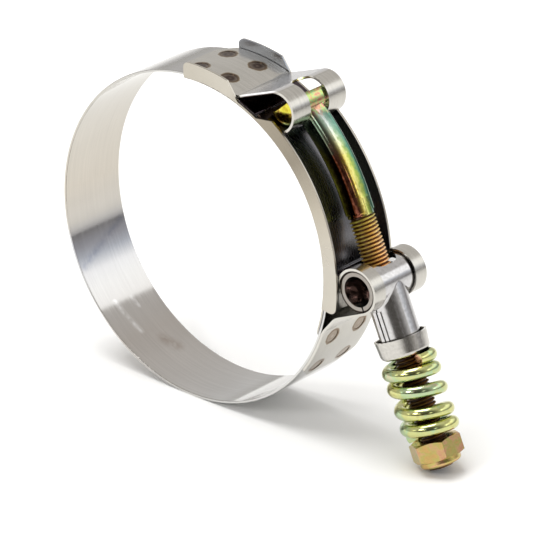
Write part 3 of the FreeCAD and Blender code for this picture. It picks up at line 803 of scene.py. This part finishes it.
tree, shader, film = opened(bolt_finish)
place = add_node(tree, "ShaderNodeTexCoord").outputs["Object"]
grain = add_node(tree, "ShaderNodeTexNoise", [("Vector", place), ("Scale", per(SPECKLE)), ("Detail", 5.0)])
section = add_node(tree, "ShaderNodeAttribute", attribute_name="around").outputs["Fac"]
section = add_node(tree, "ShaderNodeMath", [(0, grain), (1, 0.11), (2, section)], operation="MULTIPLY_ADD")
# The stops about 0.51 are a painted highlight on the shank's crown.
near_head = add_node(
    tree, "ShaderNodeValToRGB", [(0, section)],
    [(0.02, "6f7a4a"), (0.16, "a9c27a"), (0.22, "5f7a5c"), (0.32, "8aa284"), (0.40, "93ad94"),
     (0.46, "a3bba6"), (0.51, "e4efe8"), (0.55, "9ab8aa"), (0.61, "6f9a88"), (0.68, "4f7a66"),
     (0.98, "6f7a4a")],
)
near_thread = add_node(
    tree, "ShaderNodeValToRGB", [(0, section)],
    [(0.02, "7a6a35"), (0.16, "b9c24a"), (0.24, "c9c63e"), (0.28, "7a6a2c"), (0.32, "331808"),
     (0.38, "44200f"), (0.42, "a06450"), (0.46, "a8923e"), (0.51, "d6cf7c"), (0.56, "98a84e"),
     (0.62, "4f7f6a"), (0.98, "7a6a35")],
)
print("two rings of colours, drawn with a speckle of", SPECKLE, "mm")

# %% [markdown]
# The head is a bar across the shank. Its ends keep the gold and brown film, and its middle, between the strap's two
# loops, is pink and green. The distances along the bolt's line and across it blend the four kinds of film.

# %% From the thread to the head
GOLD_FROM, GREEN_FROM = -28, -36
SHANK_TO, BAR_FROM = -38.0, -40.0
MIDDLE_TO, ENDS_FROM = 3.6, 5.0

thickness = film.node.inputs[0].links[0].from_socket
middle = add_node(
    tree, "ShaderNodeValToRGB", [(0, thickness)],
    [(0.2, "d09a80"), (0.38, "cfc888"), (0.5, "a8cc94"), (0.62, "bfd070"), (0.75, "d4a08c")],
)
arm = add_node(tree, "ShaderNodeVectorMath", [(0, place), (1, CENTRE)], operation="SUBTRACT")
down = add_node(tree, "ShaderNodeVectorMath", [(0, arm), (1, AXIS)], operation="DOT_PRODUCT")
down = add_node(tree, "ShaderNodeMath", [(0, grain), (1, 5 * MM), (2, down)], operation="MULTIPLY_ADD")
low = add_node(tree, "ShaderNodeMapRange", [(0, down), (1, GREEN_FROM * MM), (2, GOLD_FROM * MM)])
high = add_node(tree, "ShaderNodeMapRange", [(0, down), (1, SHANK_TO * MM), (2, BAR_FROM * MM)])
across = add_node(tree, "ShaderNodeSeparateXYZ", [(0, place)]).outputs[1]
offset = add_node(tree, "ShaderNodeMath", [(0, across)], operation="ABSOLUTE")
aside = add_node(tree, "ShaderNodeMapRange", [(0, offset), (1, MIDDLE_TO * MM), (2, ENDS_FROM * MM)])
shank = add_node(tree, "ShaderNodeMix", [(0, low), (6, near_head), (7, near_thread)], data_type="RGBA")
bar = add_node(tree, "ShaderNodeMix", [(0, aside), (6, middle), (7, film)], data_type="RGBA")
whole = add_node(tree, "ShaderNodeMix", [(0, high), (6, shank), (7, bar)], data_type="RGBA")
feed(tree, shader.inputs["Base Color"], whole)
for piece, finish in ((forged, bolt_finish), (thread, thread_finish)):
    piece.data.materials.clear()
    piece.data.materials.append(finish)
    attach(piece, "t_bolt")
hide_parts("t_bolt")
print("bolt in two pieces:", forged.name, "and", thread.name)

# %% [markdown]
# ## The spring
# Round wire is wound close for one turn at each end and open between. The Screw modifier could wind it, but with one
# pitch all along, so a curve follows the winding instead, and its bevel makes the wire.

# %% Wound wire
WIRE, SPRING_OUTER, SPRING_TURNS = 3.15, 6.97, 4.6
SEAT_TOP, SEAT_LOW = 18.4, 39.1
END_PITCH, GROUND, FIRST_ANGLE = 3.2, 0.6, -20
OPEN_TURNS = SPRING_TURNS - 2
STEPS = 48
inset = WIRE / 2 - GROUND
extra = (SEAT_LOW - SEAT_TOP) - 2 * inset - END_PITCH * SPRING_TURNS


def on_wire(turn):
    """The middle of the wire after so many turns."""
    share = min(max((turn - 1) / OPEN_TURNS, 0), 1)
    height = SEAT_TOP + inset + END_PITCH * turn + extra * share ** 2 * (3 - 2 * share)
    angle = math.radians(FIRST_ANGLE + 360 * turn)
    out = -SIDE * math.cos(angle) + BACK * math.sin(angle)
    return along(height) + out * (SPRING_OUTER - WIRE / 2) * MM


bpy.ops.object.select_all(action="DESELECT")
bpy.ops.curve.primitive_nurbs_path_add(radius=1 * MM)
coil = bpy.context.object
coil.name = "spring_coil"
coil.data.splines.clear()
winding = coil.data.splines.new("POLY")
count = round(SPRING_TURNS * STEPS)
winding.points.add(count)
for k in range(count + 1):
    winding.points[k].co = (*on_wire(SPRING_TURNS * k / count), 1)
coil.data.bevel_depth = WIRE / 2 * MM
coil.data.bevel_resolution = 8
coil.data.use_fill_caps = True
print("spring: pitch in the middle", round(END_PITCH + 1.5 * extra / OPEN_TURNS, 2), "mm")

# %% [markdown]
# Each end of the spring is ground flat to sit square, on the cup above and on the nut below. Two cuts across the
# bolt's line do the same.

# %% Ground ends
bpy.ops.object.convert(target="MESH")
coil = bpy.context.object
bpy.ops.object.mode_set(mode="EDIT")
bpy.ops.mesh.select_all(action="SELECT")
bpy.ops.mesh.bisect(plane_co=along(SEAT_TOP), plane_no=AXIS, clear_inner=True, use_fill=True)
bpy.ops.mesh.select_all(action="SELECT")
bpy.ops.mesh.bisect(plane_co=along(SEAT_LOW), plane_no=AXIS, clear_outer=True, use_fill=True)
bpy.ops.mesh.select_all(action="SELECT")
bpy.ops.mesh.normals_make_consistent(inside=False)
bpy.ops.object.mode_set(mode="OBJECT")
bpy.ops.object.transform_apply(location=True, rotation=True, scale=True)
bpy.ops.object.shade_smooth_by_angle(angle=math.radians(35))
print("spring:", len(coil.data.polygons), "faces")

# %% [markdown]
# The wire's upper end was cut off before the bath, and its face took a film of another colour, a dull orange. The
# colour lies near the end's middle and only up to the cut.

# %% Cut end of the wire
CUT_REACH = 1.8

tree, shader, tint = opened(spring_finish)
first = math.radians(FIRST_ANGLE)
cut_way = BACK * math.cos(first) + SIDE * math.sin(first)
place = add_node(tree, "ShaderNodeTexCoord").outputs["Object"]
arm = add_node(tree, "ShaderNodeVectorMath", [(0, place), (1, on_wire(0))], operation="SUBTRACT")
gap = add_node(tree, "ShaderNodeVectorMath", [(0, arm)], operation="LENGTH")
past = add_node(tree, "ShaderNodeVectorMath", [(0, arm), (1, cut_way)], operation="DOT_PRODUCT")
near = add_node(tree, "ShaderNodeMapRange", [(0, gap), (1, (CUT_REACH + 0.1) * MM), (2, (CUT_REACH - 0.1) * MM)])
on_face = add_node(tree, "ShaderNodeMapRange", [(0, past), (1, 0.12 * MM), (2, 0.04 * MM)])
share = where_all(tree, near, on_face)
cut = add_node(tree, "ShaderNodeMix", [(0, share), (6, tint), (7, colour("e0a884"))], data_type="RGBA")
feed(tree, shader.inputs["Base Color"], cut)
coil.data.materials.clear()
coil.data.materials.append(spring_finish)
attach(coil, "spring")
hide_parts("spring")
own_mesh(coil)

# %% [markdown]
# ## The wall inside the trunnion
# The sheet that forms the stem also runs round the bolt inside the cross tube, so the thread isn't seen from the
# tube's ends. It is a short sleeve on the bolt's line, coloured dark brown.

# %% Sleeve in the cross tube
SLEEVE_RADIUS, SLEEVE_LENGTH, SLEEVE_WALL = 3.7, 6.5, 0.35

bpy.ops.object.select_all(action="DESELECT")
bpy.ops.mesh.primitive_cylinder_add(
    vertices=96, radius=SLEEVE_RADIUS * MM, depth=SLEEVE_LENGTH * MM, end_fill_type="NOTHING"
)
sleeve = bpy.context.object
sleeve.name = "trunnion_sleeve"
sheet = sleeve.modifiers.new("sheet", "SOLIDIFY")
sheet.thickness = SLEEVE_WALL * MM
sheet.offset = -1.0
bpy.ops.object.modifier_apply(modifier="sheet")
sleeve.data.transform(TURN_TO_AXIS)
sleeve.data.transform(Matrix.Translation(CENTRE))
bpy.ops.object.shade_smooth_by_angle(angle=math.radians(35))
sleeve.data.materials.append(bright_steel("dark steel inside the tube", "54403a", "3e2e2a", 0.16))
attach(sleeve, "trunnion")
print("sleeve:", len(sleeve.data.polygons), "faces")

# %% [markdown]
# ## The table
# The clamp stands on white paper. Near the clamp the paper is lit almost by the lamps alone, so it keeps the
# shadows. Away from it the camera, and only the camera, sees the paper glow, so it runs into the white background.

# %% Table
TABLE = -41.46
GLOW_FROM, GLOW_TO = 0.12, 0.45
GLOW_NEAR, GLOW_FAR = 0.03, 1.0

bpy.ops.object.select_all(action="DESELECT")
bpy.ops.mesh.primitive_plane_add(size=6, location=(0, 0, TABLE * MM))
floor = bpy.context.object
floor.name = "table"
paper, tree, shader = new_material("white paper")
shader.inputs["Base Color"].default_value = colour("f4f4f3")
shader.inputs["Roughness"].default_value = 0.9
place = add_node(tree, "ShaderNodeTexCoord").outputs["Object"]
away = add_node(tree, "ShaderNodeVectorMath", [(0, place)], operation="LENGTH")
share = add_node(
    tree, "ShaderNodeMapRange", [(0, away), (1, GLOW_FROM), (2, GLOW_TO), (3, GLOW_NEAR), (4, GLOW_FAR)],
    interpolation_type="SMOOTHSTEP",
)
glow = add_node(tree, "ShaderNodeEmission", [("Color", colour("ffffff")), ("Strength", share)])
lit = add_node(tree, "ShaderNodeAddShader", [(0, shader), (1, glow)])
camera_ray = add_node(tree, "ShaderNodeLightPath").outputs["Is Camera Ray"]
seen = add_node(tree, "ShaderNodeMixShader", [(0, camera_ray), (1, shader), (2, lit)])
output = next(node for node in tree.nodes if node.type == "OUTPUT_MATERIAL")
feed(tree, output.inputs["Surface"], seen)
floor.data.materials.append(paper)
print("table at", TABLE, "mm")

# %% [markdown]
# ## The room in the reflections
# Bright metal shows the room more than its own colour. The walls are a warm grey, darker towards the table, and the
# photographer's side is dark. A patch of the room is found by how closely a direction points at its middle.

# %% Walls and the dark side
def patch_share(tree, direction, azimuth, elevation, inner, outer):
    """One inside a round patch of the room, zero outside it, from two angular radii in degrees."""
    azimuth, elevation = math.radians(azimuth), math.radians(elevation)
    middle = Vector((
        math.cos(elevation) * math.cos(azimuth), math.cos(elevation) * math.sin(azimuth), math.sin(elevation)
    ))
    facing = add_node(tree, "ShaderNodeVectorMath", [(0, direction), (1, middle)], operation="DOT_PRODUCT")
    far, near = (math.cos(math.radians(angle)) for angle in (outer, inner))
    return add_node(
        tree, "ShaderNodeMapRange", [(0, facing), (1, far), (2, near)], interpolation_type="SMOOTHSTEP"
    )


world = bpy.data.worlds.new("room")
bpy.context.scene.world = world
world.use_nodes = True
tree = world.node_tree
tree.nodes.clear()
direction = add_node(tree, "ShaderNodeTexCoord").outputs["Generated"]
height = add_node(tree, "ShaderNodeSeparateXYZ", [(0, direction)]).outputs[2]
wall_tones = add_node(
    tree, "ShaderNodeValToRGB", [(0, height)],
    [(0.0, "c4c2be"), (0.05, "cac8c5"), (0.16, "d8d6d4"), (0.8, "d8d5d2"), (0.95, "ececec")],
)
dark = patch_share(tree, direction, azimuth=-55, elevation=12, inner=25, outer=75)
walls = add_node(tree, "ShaderNodeMix", [(0, dark), (6, wall_tones), (7, colour("5a5753"))], data_type="RGBA")
print("room with", len(tree.nodes), "nodes so far")

# %% [markdown]
# ## The window and the lamps' shine
# Behind on the right the room has a bay: grey at table height, then a tall white window with a sharp top edge, which
# is the bright field on the band. Four small bright patches round the room give the round parts their glints.

# %% Window and glints
BAY_AZIMUTH, BAY_INNER, BAY_OUTER = 58, 34, 42
WINDOW_POWER, GLINT_POWER = 1.5, 1.6

level = add_node(tree, "ShaderNodeVectorMath", [(0, direction), (1, (1.0, 1.0, 0.0))], operation="MULTIPLY")
level = add_node(tree, "ShaderNodeVectorMath", [(0, level)], operation="NORMALIZE")
bay = patch_share(tree, level, BAY_AZIMUTH, 0, BAY_INNER, BAY_OUTER)
bay_tones = add_node(
    tree, "ShaderNodeValToRGB", [(0, height)],
    [(0.0, "8b8a8a"), (0.04, "a3a1a0"), (0.12, "b9b8ba"), (0.22, "d9dde3"), (0.33, "ffffff"),
     (0.585, "ffffff"), (0.60, "d2cfcc"), (0.8, "d6d3d0"), (0.95, "ececec")],
)
room = add_node(tree, "ShaderNodeMix", [(0, bay), (6, walls), (7, bay_tones)], data_type="RGBA")
pane = add_node(
    tree, "ShaderNodeValToRGB", [(0, height)],
    [(0.2, "000000"), (0.34, "ffffff"), (0.585, "ffffff"), (0.60, "000000")],
)
window = where_all(tree, bay, pane)
glints = 0.0
for azimuth, elevation in ((-125, 20), (-78, 26), (-27, 24), (22, 23)):
    glint = patch_share(tree, direction, azimuth, elevation, inner=3, outer=7)
    glints = add_node(tree, "ShaderNodeMath", [(0, glints), (1, glint)], operation="MAXIMUM")
room = add_node(tree, "ShaderNodeMix", [(0, glints), (6, room), (7, colour("ffffff"))], data_type="RGBA")
power = add_node(tree, "ShaderNodeMapRange", [(0, window), (3, 1.0), (4, WINDOW_POWER)])
power = add_node(tree, "ShaderNodeMath", [(0, glints), (1, GLINT_POWER), (2, power)], operation="MULTIPLY_ADD")
print("a window and four glints")

# %% [markdown]
# The camera itself sees no room, only plain white, so the background is pure white while the metal still has a room
# to reflect.

# %% White for the camera
shown = add_node(tree, "ShaderNodeBackground", [("Color", room), ("Strength", power)])
white = add_node(tree, "ShaderNodeBackground", [("Color", colour("ffffff")), ("Strength", 1.0)])
camera_ray = add_node(tree, "ShaderNodeLightPath").outputs["Is Camera Ray"]
either = add_node(tree, "ShaderNodeMixShader", [(0, camera_ray), (1, shown), (2, white)])
add_node(tree, "ShaderNodeOutputWorld", [("Surface", either)])
print("room with", len(tree.nodes), "nodes")

# %% [markdown]
# ## Lamps
# Two square soft boxes light the clamp, a large one over the table and a small one on the left. Being large against
# the clamp, they cast shadows with soft edges.

# %% Soft boxes
def soft_lamp(name, place, size, watts):
    """A square soft box that faces the clamp."""
    light = bpy.data.lights.new(name, "AREA")
    light.shape = "SQUARE"
    light.size = size
    light.energy = watts
    lamp = bpy.data.objects.new(name, light)
    lamp.location = place
    lamp.rotation_euler = (-Vector(place)).to_track_quat("-Z", "Y").to_euler()
    bpy.context.scene.collection.objects.link(lamp)
    return lamp


over = soft_lamp("lamp over the table", (-0.15, -0.1, 0.75), 0.5, 5.0)
left = soft_lamp("lamp on the left", (-0.05, -0.76, 0.48), 0.22, 1.6)
print("two lamps:", over.name, "and", left.name)
